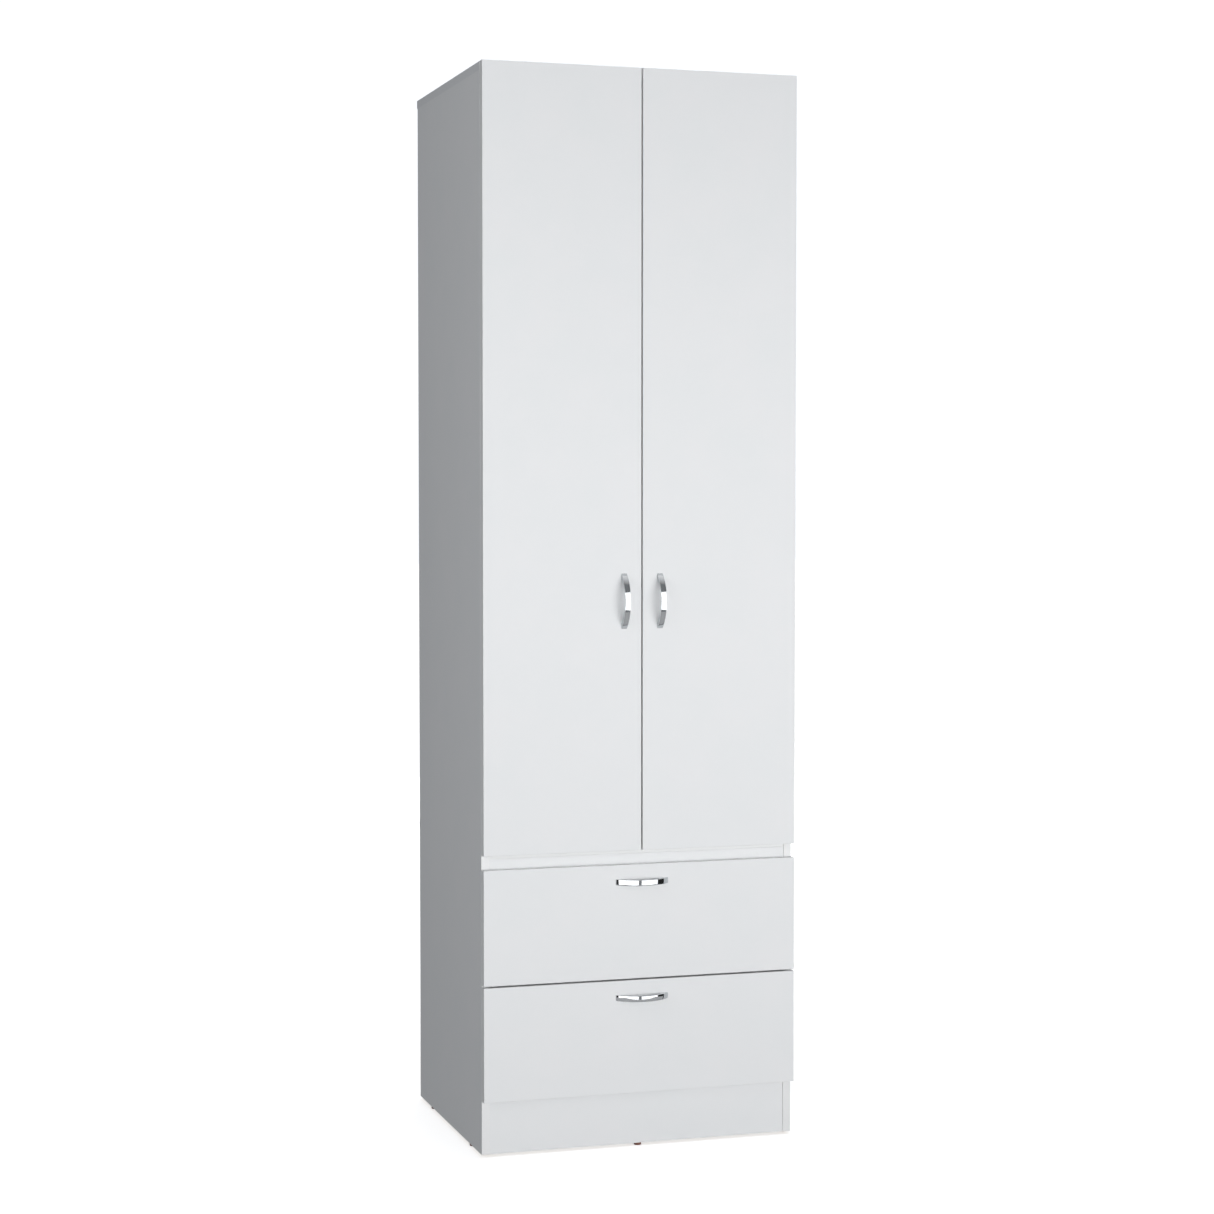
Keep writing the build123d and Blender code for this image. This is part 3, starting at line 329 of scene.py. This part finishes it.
# ---------------------------------------------------------------- board materials
def melamine_board(name, edged, raw, ends=()):
    """Melamine-faced chipboard: decor paper pressed against a pearl-grained plate.

    The resin gives an even white with a soft sheen and a very fine grain. Visible edges carry
    an ABS strip, smoother and a touch brighter, and hidden edges show the raw chips. The ends
    of the top carry a greyer strip of painted shade. The pearl grain is about 0.4 mm on the
    real board, and is drawn coarser so that it shows.
    """
    look = finishes()
    material, tree, shader, coords = new_material(name, {"IOR": 1.5})
    place = coords.outputs["Object"]
    base = blend_colours(tree, cloud(tree, place, 0.09, 0, 1), look.melamine, look.melamine_shade)
    rough = cloud(tree, place, 0.03, 0.42, 0.46)
    grain = cloud(tree, place, look.pearl_grain, 0, 1, 2.0)
    height = grain
    if edged:
        strip = facing(tree, coords, edged)
        base = blend_colours(tree, strip, base, look.edging)
        rough = blend_values(tree, strip, rough, 0.33)
        height = blend_values(tree, strip, height, 0.5)
    if ends:
        # Painted shade: the ends of the top are greyed where shade falls on them.
        base = blend_colours(tree, facing(tree, coords, ends), base, look.end_edging_painted_shade)
    if raw:
        cut = facing(tree, coords, raw)
        chips = add_node(
            tree,
            "ShaderNodeTexVoronoi",
            values={"Scale": per_metre(look.chip_size), "Randomness": 1.0},
            links={"Vector": stretched(tree, place, (1.0, 0.55, 1.3))},
        )
        tone = add_node(tree, "ShaderNodeSeparateXYZ", links={"Vector": chips.outputs["Color"]})
        wood = blend_colours(tree, tone.outputs["X"], look.chip_light, look.chip_dark)
        base = blend_colours(tree, cut, base, wood)
        rough = blend_values(tree, cut, rough, 0.85)
        height = blend_values(tree, cut, height, tone.outputs["Y"])
    tree.links.new(base, shader.inputs["Base Color"])
    tree.links.new(rough, shader.inputs["Roughness"])
    bump(tree, shader, height, 0.03 * MM, 0.6)
    return material


def hardboard(name, raw):
    """Hardboard: wet-pressed fibre, lacquered white on one face and raw on the other.

    The lacquer is flat and even. The raw face is a warm brown with short fibres and the square
    marks of the wire screen that it was pressed on, drawn at twice their real spacing.
    """
    look = finishes()
    material, tree, shader, coords = new_material(name, {"IOR": 1.48})
    place = coords.outputs["Object"]
    cut = facing(tree, coords, raw)
    blotch = cloud(tree, place, 0.05, 0, 1, 5.0)
    fibres = cloud(tree, place, 2.5 * MM, 0, 1, 4.0)
    mottle = blend_values(tree, blotch, fibres, 0.5)
    brown = blend_colours(tree, mottle, look.fibre_light, look.fibre_dark)
    base = blend_colours(tree, cut, look.lacquer, brown)
    # At a scale of 1 a wave repeats every 2 pi / 20 metres, so this is twice the real spacing.
    wave_scale = per_metre(look.screen_pitch) / 20 * math.pi
    marks = []
    for direction in ("X", "Y" if raw[0] == "-Z" else "Z"):
        wave = add_node(
            tree,
            "ShaderNodeTexWave",
            {"bands_direction": direction},
            {"Scale": wave_scale, "Distortion": 0.4, "Detail": 1.0},
            {"Vector": place},
        )
        marks.append(wave.outputs["Fac"])
    screen = add_node(
        tree, "ShaderNodeMath", {"operation": "MULTIPLY"}, links={0: marks[0], 1: marks[1]}
    )
    rough = blend_values(tree, cut, cloud(tree, place, 0.02, 0.38, 0.46), 0.8)
    tree.links.new(base, shader.inputs["Base Color"])
    tree.links.new(rough, shader.inputs["Roughness"])
    smooth = cloud(tree, place, 4 * MM, 0.4, 0.6, 1.0)
    bump(tree, shader, blend_values(tree, cut, smooth, screen.outputs[0]), 0.08 * MM, 0.5)
    return material


# ---------------------------------------------------------------- metal materials
def metal(name, base, rough, grain, relief, base_cloud=None, stretch=(1.0, 1.0, 1.0)):
    """A plated or cast metal: its colour, roughness range, size and depth of its grain."""
    material, tree, shader, coords = new_material(name, {"Metallic": 1.0})
    place = stretched(tree, coords.outputs["Object"], stretch)
    tree.links.new(cloud(tree, place, grain * 6, *rough), shader.inputs["Roughness"])
    if base_cloud is None:
        shader.inputs["Base Color"].default_value = rgba(base)
    else:
        patches = blend_colours(tree, cloud(tree, place, grain * 14, 0, 1), base, base_cloud)
        tree.links.new(patches, shader.inputs["Base Color"])
    bump(tree, shader, cloud(tree, place, grain, 0, 1), relief, 0.5)
    return material


def chrome_plate():
    """Polished and chrome plated casting: a clear, slightly blue mirror."""
    return metal(
        "chrome_plated_zinc",
        finishes().chrome,
        rough=(0.05, 0.10),
        grain=3.5 * MM,
        relief=0.004 * MM,
    )


def chrome_tube():
    """Drawn steel tube, chrome plated: a mirror with faint lines along its length."""
    return metal(
        "chrome_plated_steel_tube",
        finishes().chrome,
        rough=(0.09, 0.17),
        grain=0.8 * MM,
        relief=0.003 * MM,
        stretch=(0.04, 1.0, 1.0),
    )


def nickel_plate():
    """Stamped steel, barrel plated with nickel: warm and satin, with a fine tumbled grain."""
    return metal(
        "nickel_plated_steel",
        finishes().nickel,
        rough=(0.32, 0.40),
        grain=1.4 * MM,
        relief=0.002 * MM,
    )


def zinc_plate():
    """Rolled steel, bright zinc plated: pale grey, with lines along it and dull clouds."""
    look = finishes()
    return metal(
        "zinc_plated_steel",
        look.zinc_plate,
        rough=(0.40, 0.55),
        grain=look.draw_lines,
        relief=0.006 * MM,
        base_cloud=look.zinc_cloud,
        stretch=(1.0, 0.03, 1.0),
    )


def cast_zinc():
    """Die-cast zinc, tumbled and left bare: matt grey with a soft uneven skin."""
    return metal(
        "diecast_zinc",
        finishes().zinc_cast,
        rough=(0.40, 0.52),
        grain=1.2 * MM,
        relief=0.03 * MM,
    )


# ---------------------------------------------------------------- plastic and timber materials
def moulded_plastic(name, base, rough, grain, relief, ior):
    """A moulded or extruded plastic: one colour, a soft sheen and a slight skin texture."""
    material, tree, shader, coords = new_material(name, {"IOR": ior})
    place = coords.outputs["Object"]
    darker = tuple(channel * 0.82 for channel in base)
    tint = blend_colours(tree, cloud(tree, place, grain * 8, 0, 1), base, darker)
    tree.links.new(tint, shader.inputs["Base Color"])
    tree.links.new(cloud(tree, place, grain * 4, *rough), shader.inputs["Roughness"])
    bump(tree, shader, cloud(tree, place, grain, 0, 1), relief, 0.6)
    return material


def turned_beech():
    """Beech dowel, turned and fluted: pale pink-brown with short dark flecks along the grain."""
    look = finishes()
    material, tree, shader, coords = new_material("turned_beech", {"Roughness": 0.6, "IOR": 1.5})
    place = stretched(tree, coords.outputs["Object"], (0.15, 1.0, 1.0))
    flecks = cloud(tree, place, 0.9 * MM, 0, 1, 4.0)
    wood = blend_colours(tree, flecks, look.beech, look.beech_grain)
    tree.links.new(wood, shader.inputs["Base Color"])
    bump(tree, shader, flecks, 0.03 * MM, 0.6)
    return material


def wear(material, *nodes):
    """Gives a material to CAD nodes."""
    for name in nodes:
        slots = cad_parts[name].data.materials
        slots.clear()
        slots.append(material)


# ---------------------------------------------------------------- operators: CAD nodes
# The faces of the top that carry a greyer strip of painted shade.
TOP_SHADED_ENDS = ("-X", "+X")

# For each kind of board: its edged outward faces, its raw ones and its nodes.
BOARD_KINDS = {
    "melamine_board_side": (
        ("-Y",),
        ("+Y", "-Z", "+Z"),
        ("left_side_panel", "right_side_panel"),
    ),
    "melamine_board_top": (("-Y", "-X", "+X"), ("+Y",), ("top_panel",)),
    "melamine_board_shelf": (("-Y",), ("+Y", "-X", "+X"), ("fixed_shelf", "bottom_panel")),
    "melamine_board_rail": (("-Z",), ("-X", "+X"), ("front_rail",)),
    "melamine_board_plinth": (("+Z",), ("-Z", "-X", "+X"), ("plinth_board", "rear_plinth_board")),
    "melamine_board_front": (
        ("+X", "-X", "+Z", "-Z"),
        (),
        ("left_door_panel", "right_door_panel", "upper_drawer_front", "lower_drawer_front"),
    ),
    "melamine_board_drawer": (
        ("+Z",),
        ("+Y", "-Z"),
        tuple(
            f"{drawer}_drawer_{part}"
            for drawer in DRAWERS
            for part in ("left_side", "right_side", "back")
        ),
    ),
}


class WARDROBE_OT_finish_boards(bpy.types.Operator):
    """Finish the melamine-faced boards of the carcass, doors and drawers"""

    bl_idname = "wardrobe.finish_boards"
    bl_label = "Finish boards"

    def execute(self, context):
        for name, (edged, raw, nodes) in BOARD_KINDS.items():
            ends = TOP_SHADED_ENDS if "top_panel" in nodes else ()
            wear(melamine_board(name, edged, raw, ends), *nodes)
        return {"FINISHED"}


class WARDROBE_OT_finish_backs(bpy.types.Operator):
    """Finish the hardboard backs and drawer bottoms, and the strip that joins the backs"""

    bl_idname = "wardrobe.finish_backs"
    bl_label = "Finish backs and drawer bottoms"

    def execute(self, context):
        backs = hardboard("lacquered_hardboard_back", ("+Y",))
        wear(backs, "upper_back_panel", "lower_back_panel")
        bottoms = [f"{drawer}_drawer_bottom" for drawer in DRAWERS]
        wear(hardboard("lacquered_hardboard_bottom", ("-Z",)), *bottoms)
        strip = moulded_plastic(
            "extruded_pvc",
            finishes().profile,
            rough=(0.3, 0.4),
            grain=2 * MM,
            relief=0.01 * MM,
            ior=1.53,
        )
        wear(strip, "back_joining_strip")
        return {"FINISHED"}


class WARDROBE_OT_finish_hinges(bpy.types.Operator):
    """Finish the concealed hinges: arms, plates, links, cups and pins"""

    bl_idname = "wardrobe.finish_hinges"
    bl_label = "Finish hinges"

    def execute(self, context):
        nodes = ["hinge_arms", "hinge_plates", "hinge_arm_pins"]
        for door in DOORS:
            nodes += [f"{door}_hinge_links", f"{door}_hinge_cups", f"{door}_hinge_cup_pins"]
        wear(nickel_plate(), *nodes)
        return {"FINISHED"}


class WARDROBE_OT_finish_steelwork(bpy.types.Operator):
    """Finish the runners, screws, bolts and nails"""

    bl_idname = "wardrobe.finish_steelwork"
    bl_label = "Finish runners and fasteners"

    def execute(self, context):
        nodes = ["runner_cabinet_members", "side_panel_screws", "hinge_plate_screws"]
        nodes += ["back_panel_nails", "glide_nails", "cam_bolts"]
        for drawer in DRAWERS:
            nodes += [f"{drawer}_runner_middle_members", f"{drawer}_runner_drawer_members"]
            nodes += [f"{drawer}_drawer_fixings", f"{drawer}_drawer_handle_screws"]
        for door in DOORS:
            nodes += [f"{door}_door_handle_screws", f"{door}_hinge_cup_screws"]
        wear(zinc_plate(), *nodes)
        return {"FINISHED"}


class WARDROBE_OT_finish_fittings(bpy.types.Operator):
    """Finish the hanging rod, its sockets, the cams and the dowels"""

    bl_idname = "wardrobe.finish_fittings"
    bl_label = "Finish rod and fittings"

    def execute(self, context):
        wear(chrome_tube(), "hanging_rod")
        wear(cast_zinc(), "rod_sockets", "cam_locks")
        wear(turned_beech(), "joint_dowels")
        return {"FINISHED"}


class WARDROBE_OT_finish_glides(bpy.types.Operator):
    """Finish the brown plastic floor glides"""

    bl_idname = "wardrobe.finish_glides"
    bl_label = "Finish floor glides"

    def execute(self, context):
        brown = moulded_plastic(
            "moulded_polyethylene",
            finishes().glide,
            rough=(0.38, 0.5),
            grain=0.8 * MM,
            relief=0.02 * MM,
            ior=1.51,
        )
        wear(brown, "floor_glides")
        return {"FINISHED"}


# ---------------------------------------------------------------- handles
def arc_point(half, height, share):
    """A point of the arc that spans -half..half and rises to height, at a share from -1 to 1."""
    radius = (half * half + height * height) / (2 * height)
    angle = share * math.asin(half / radius)
    return Vector((radius * math.sin(angle), radius * math.cos(angle) - radius + height))


def bow_section(outer, inner, width, radius, crown):
    """Points round the bow's rounded section, as length, rise and across."""
    depth = (outer - inner).length
    inward = (inner - outer) / depth
    half = width / 2
    radius = min(radius, depth * 0.45)
    ring = []
    for corner, (across_sign, deep) in enumerate(((1, 0), (1, 1), (-1, 1), (-1, 0))):
        centre_across = across_sign * (half - radius)
        centre_deep = depth - radius if deep else radius
        for step in range(CORNER_STEPS):
            turn = math.radians(90 * corner - 90 + 90 * step / (CORNER_STEPS - 1))
            across = centre_across + radius * math.cos(turn)
            deep_place = centre_deep + radius * math.sin(turn)
            ring.append((across, deep_place))
    for step in range(1, FACE_STEPS):
        share = step / FACE_STEPS
        ring.append((-half + radius + (width - 2 * radius) * share, 0.0))
    points = []
    for across, deep_place in ring:
        bulge = crown * (1 - (across / half) ** 2) if deep_place < radius else 0.0
        place = outer + inward * (deep_place - bulge)
        points.append((place.x, place.y, across))
    return points


def make_bow(name, node, sizes):
    """A cast bow handle in the place of its CAD node."""
    low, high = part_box(node)
    centre, size = (low + high) / 2, high - low
    upright = size.z > size.x
    half = max(size.x, size.z) / 2
    width = min(size.x, size.z)
    mesh = bmesh.new()
    rings = []
    for i in range(BOW_STATIONS + 1):
        share = -1 + 2 * i / BOW_STATIONS
        outer = arc_point(half, size.y, share)
        inner = arc_point(half - sizes.foot_length, size.y - sizes.crown_thickness, share)
        section = bow_section(outer, inner, width, sizes.edge_radius, sizes.face_crown)
        ring = []
        for along, rise, across in section:
            rise = max(rise, 0.0)
            if upright:
                place = (centre.x + across, high.y - rise, centre.z + along)
            else:
                place = (centre.x + along, high.y - rise, centre.z + across)
            ring.append(mesh.verts.new(place))
        rings.append(ring)
    count = len(rings[0])
    for first, second in zip(rings, rings[1:]):
        for i in range(count):
            j = (i + 1) % count
            mesh.faces.new((first[i], first[j], second[j], second[i]))
    mesh.faces.new(rings[0])
    mesh.faces.new(rings[-1])
    bmesh.ops.recalc_face_normals(mesh, faces=mesh.faces)
    for face in mesh.faces:
        face.smooth = len(face.verts) == 4
    data = bpy.data.meshes.new(name)
    mesh.to_mesh(data)
    mesh.free()
    bow = bpy.data.objects.new(name, data)
    bpy.context.scene.collection.objects.link(bow)
    return bow


class WARDROBE_OT_cast_handles(bpy.types.Operator):
    """Make the four chrome bow handles"""

    bl_idname = "wardrobe.cast_handles"
    bl_label = "Cast handles"

    def execute(self, context):
        sizes = context.scene.wardrobe_handle_sizes
        plate = chrome_plate()
        bodies = [f"{door}_door" for door in DOORS] + [f"{drawer}_drawer" for drawer in DRAWERS]
        for body in bodies:
            bow = make_bow(f"{body}_bow_handle", f"{body}_handle", sizes)
            bow.data.materials.append(plate)
            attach(bow, body)
            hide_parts(f"{body}_handle")
        return {"FINISHED"}


# ---------------------------------------------------------------- studio
def area_light(name, place, target, power, width, height):
    """A soft rectangular light that looks at a point."""
    data = bpy.data.lights.new(name, "AREA")
    data.shape = "RECTANGLE"
    data.size = width
    data.size_y = height
    data.energy = power
    lamp = bpy.data.objects.new(name, data)
    lamp.location = place
    lamp.rotation_euler = (Vector(target) - Vector(place)).to_track_quat("-Z", "Y").to_euler()
    lamp.visible_camera = False
    lamp.visible_glossy = False
    bpy.context.scene.collection.objects.link(lamp)


def stage_object(name, vertices, faces, material):
    """A mesh that belongs to the stage."""
    data = bpy.data.meshes.new(name)
    data.from_pydata(vertices, [], faces)
    data.materials.append(material)
    thing = bpy.data.objects.new(name, data)
    bpy.context.scene.collection.objects.link(thing)
    return thing


def glow(name, strength, far_strength=None, span=None):
    """A glow for a card: even, or changing over a span of its depth."""
    material, tree, shader, coords = new_material(
        name, {"Base Color": (0, 0, 0, 1), "Roughness": 1.0, "Emission Color": (1, 1, 1, 1)}
    )
    shader.inputs["Emission Strength"].default_value = strength
    if span:
        place = add_node(tree, "ShaderNodeSeparateXYZ", links={"Vector": coords.outputs["Object"]})
        near, far = span
        fade = add_node(
            tree,
            "ShaderNodeMapRange",
            values={"From Min": near, "From Max": far, "To Min": strength, "To Max": far_strength},
            links={"Value": place.outputs["Y"]},
        )
        tree.links.new(fade.outputs["Result"], shader.inputs["Emission Strength"])
    return material


def only_mirrored(card):
    """Hides a card from everything but mirror reflections."""
    card.visible_camera = False
    card.visible_diffuse = False
    card.visible_shadow = False
    card.visible_transmission = False


def curved_card(name, from_angle, to_angle, radius, material):
    """An upright card bent round the wardrobe, between two angles right of straight ahead.

    Only the mirror finishes see it: it gives them the soft boxes and dark gaps of a studio.
    """
    vertices = []
    for i in range(CARD_FACETS + 1):
        angle = math.radians(from_angle + (to_angle - from_angle) * i / CARD_FACETS)
        x, y = radius * math.sin(angle), -radius * math.cos(angle)
        vertices += [(x, y, CARD_FOOT), (x, y, CARD_HEAD)]
    faces = [(2 * i, 2 * i + 2, 2 * i + 3, 2 * i + 1) for i in range(CARD_FACETS)]
    only_mirrored(stage_object(name, vertices, faces, material))


def flat_card(name, near, far, height, material):
    """A level card for the mirror finishes, above or below the handles."""
    half = LEVEL_CARD_HALF_WIDTH
    corners = [
        (-half, near, height),
        (half, near, height),
        (half, far, height),
        (-half, far, height),
    ]
    only_mirrored(stage_object(name, corners, [(0, 1, 2, 3)], material))


def pale_floor(tint):
    """Matt painted floor: it shows a soft shadow near the wardrobe and glows white further out."""
    material, tree, shader, coords = new_material(
        "matt_painted_floor", {"Roughness": 0.9, "Base Color": rgba(tint)}
    )
    away = add_node(
        tree, "ShaderNodeVectorMath", {"operation": "LENGTH"}, links={0: coords.outputs["Object"]}
    )
    lift = add_node(
        tree,
        "ShaderNodeMapRange",
        {"interpolation_type": "SMOOTHSTEP"},
        {
            "From Min": FLOOR_GLOW_FROM,
            "From Max": FLOOR_GLOW_TO,
            "To Min": FLOOR_GLOW_NEAR,
            "To Max": FLOOR_GLOW_FAR,
        },
        {"Value": away.outputs["Value"]},
    )
    shader.inputs["Emission Color"].default_value = (1, 1, 1, 1)
    tree.links.new(lift.outputs["Result"], shader.inputs["Emission Strength"])
    return material


def white_surround(ambient):
    """A white world to the camera, which lights the object at the ambient level."""
    world = bpy.data.worlds.new("white_surround")
    world.use_nodes = True
    tree = world.node_tree
    tree.nodes.clear()
    path = add_node(tree, "ShaderNodeLightPath")
    level = add_node(
        tree,
        "ShaderNodeMapRange",
        values={"To Min": ambient, "To Max": SURROUND_TO_CAMERA},
        links={"Value": path.outputs["Is Camera Ray"]},
    )
    back = add_node(
        tree,
        "ShaderNodeBackground",
        values={"Color": rgba(SURROUND_COLOUR)},
        links={"Strength": level.outputs["Result"]},
    )
    add_node(tree, "ShaderNodeOutputWorld", links={"Surface": back.outputs["Background"]})
    bpy.context.scene.world = world


class WARDROBE_OT_build_studio(bpy.types.Operator):
    """Build the floor, the surround, the lights and the camera"""

    bl_idname = "wardrobe.build_studio"
    bl_label = "Build studio"

    def execute(self, context):
        scene = context.scene
        studio = scene.wardrobe_studio
        reach = FLOOR_REACH
        floor = stage_object(
            "floor",
            [(-reach, -reach, 0), (reach, -reach, 0), (reach, reach, 0), (-reach, reach, 0)],
            [(0, 1, 2, 3)],
            pale_floor(studio.floor),
        )
        floor.visible_diffuse = False
        floor.visible_glossy = False
        white_surround(studio.ambient)
        middle = (CAD_BOX[0] + CAD_BOX[1]) / 2
        for name, place, target, watts, width, height in (
            ("key_softbox", (1.4, -7.2, 0.82), middle, studio.key_power, 7.8, 1.8),
            ("fill_softbox", (-2.0, -1.6, 1.5), middle, studio.fill_power, 1.0, 1.5),
            ("top_softbox", (0.1, 0.3, 3.9), (0.1, 0.3, 0), studio.top_power, 1.1, 1.1),
            ("rear_softbox", (1.6, 5.6, 1.6), middle, studio.rear_power, 4.0, 3.0),
        ):
            area_light(name, place, target, watts, width, height)
        white = glow("white_card", 2.3)
        black = glow("black_card", 0.02)
        for name, start, end, material in (
            ("left_card", -69.5, -6.3, white),
            ("right_card", 2.7, 57.2, white),
            ("left_dark_card", -92, -69.5, black),
            ("right_dark_card", 57.2, 92, black),
            ("rear_card", 92, 172, glow("rear_card", 0.7)),
        ):
            curved_card(name, start, end, studio.card_radius, material)
        flat_card("overhead_card", -1.9, 0.9, 3.4, glow("overhead_card", 0.3, 1.3, (-1.9, 0.2)))
        flat_card("underfoot_card", -1.5, -0.3, 0.01, glow("underfoot_card", 0.5))
        data = bpy.data.cameras.new("camera")
        data.lens = studio.lens
        data.sensor_width = SENSOR_WIDTH
        data.clip_end = FARTHEST_SEEN
        camera = bpy.data.objects.new("camera", data)
        camera.location = studio.eye
        camera.rotation_euler = (math.pi / 2 + studio.pitch, 0, -studio.yaw)
        scene.collection.objects.link(camera)
        scene.camera = camera
        scene.view_settings.view_transform = "Standard"
        return {"FINISHED"}


class WARDROBE_PT_panel(bpy.types.Panel):
    """Sidebar panel with the wardrobe's settings and operators"""

    bl_idname = "WARDROBE_PT_panel"
    bl_label = "Wardrobe"
    bl_space_type = "VIEW_3D"
    bl_region_type = "UI"
    bl_category = "Wardrobe"

    def draw(self, context):
        for group, operators in PANEL_SECTIONS:
            box = self.layout.box()
            settings = getattr(context.scene, group)
            for name in settings.__annotations__:
                box.prop(settings, name)
            for operator in operators:
                box.operator(operator)


FINISH_STEPS = (
    "wardrobe.finish_boards",
    "wardrobe.finish_backs",
    "wardrobe.finish_hinges",
    "wardrobe.finish_steelwork",
    "wardrobe.finish_fittings",
    "wardrobe.finish_glides",
)
PANEL_SECTIONS = (
    ("wardrobe_studio", ("wardrobe.build_studio",)),
    ("wardrobe_finishes", FINISH_STEPS),
    ("wardrobe_handle_sizes", ("wardrobe.cast_handles",)),
)
SETTINGS = {
    "wardrobe_finishes": WardrobeFinishes,
    "wardrobe_handle_sizes": WardrobeHandleSizes,
    "wardrobe_studio": WardrobeStudio,
}
CLASSES = (
    *SETTINGS.values(),
    WARDROBE_OT_build_studio,
    WARDROBE_OT_finish_boards,
    WARDROBE_OT_finish_backs,
    WARDROBE_OT_finish_hinges,
    WARDROBE_OT_finish_steelwork,
    WARDROBE_OT_finish_fittings,
    WARDROBE_OT_finish_glides,
    WARDROBE_OT_cast_handles,
    WARDROBE_PT_panel,
)


def register():
    """Registers the classes and gives the scene its settings."""
    for item in CLASSES:
        bpy.utils.register_class(item)
    for name, group in SETTINGS.items():
        setattr(bpy.types.Scene, name, PointerProperty(type=group))


def unregister():
    """Takes the settings and classes away again."""
    for name in SETTINGS:
        delattr(bpy.types.Scene, name)
    for item in reversed(CLASSES):
        bpy.utils.unregister_class(item)


def main():
    """Builds the studio, finishes the CAD nodes and makes the handles."""
    register()
    for _, operators in PANEL_SECTIONS:
        for operator in operators:
            group, name = operator.split(".")
            getattr(getattr(bpy.ops, group), name)()


if __name__ == "__main__":
    main()
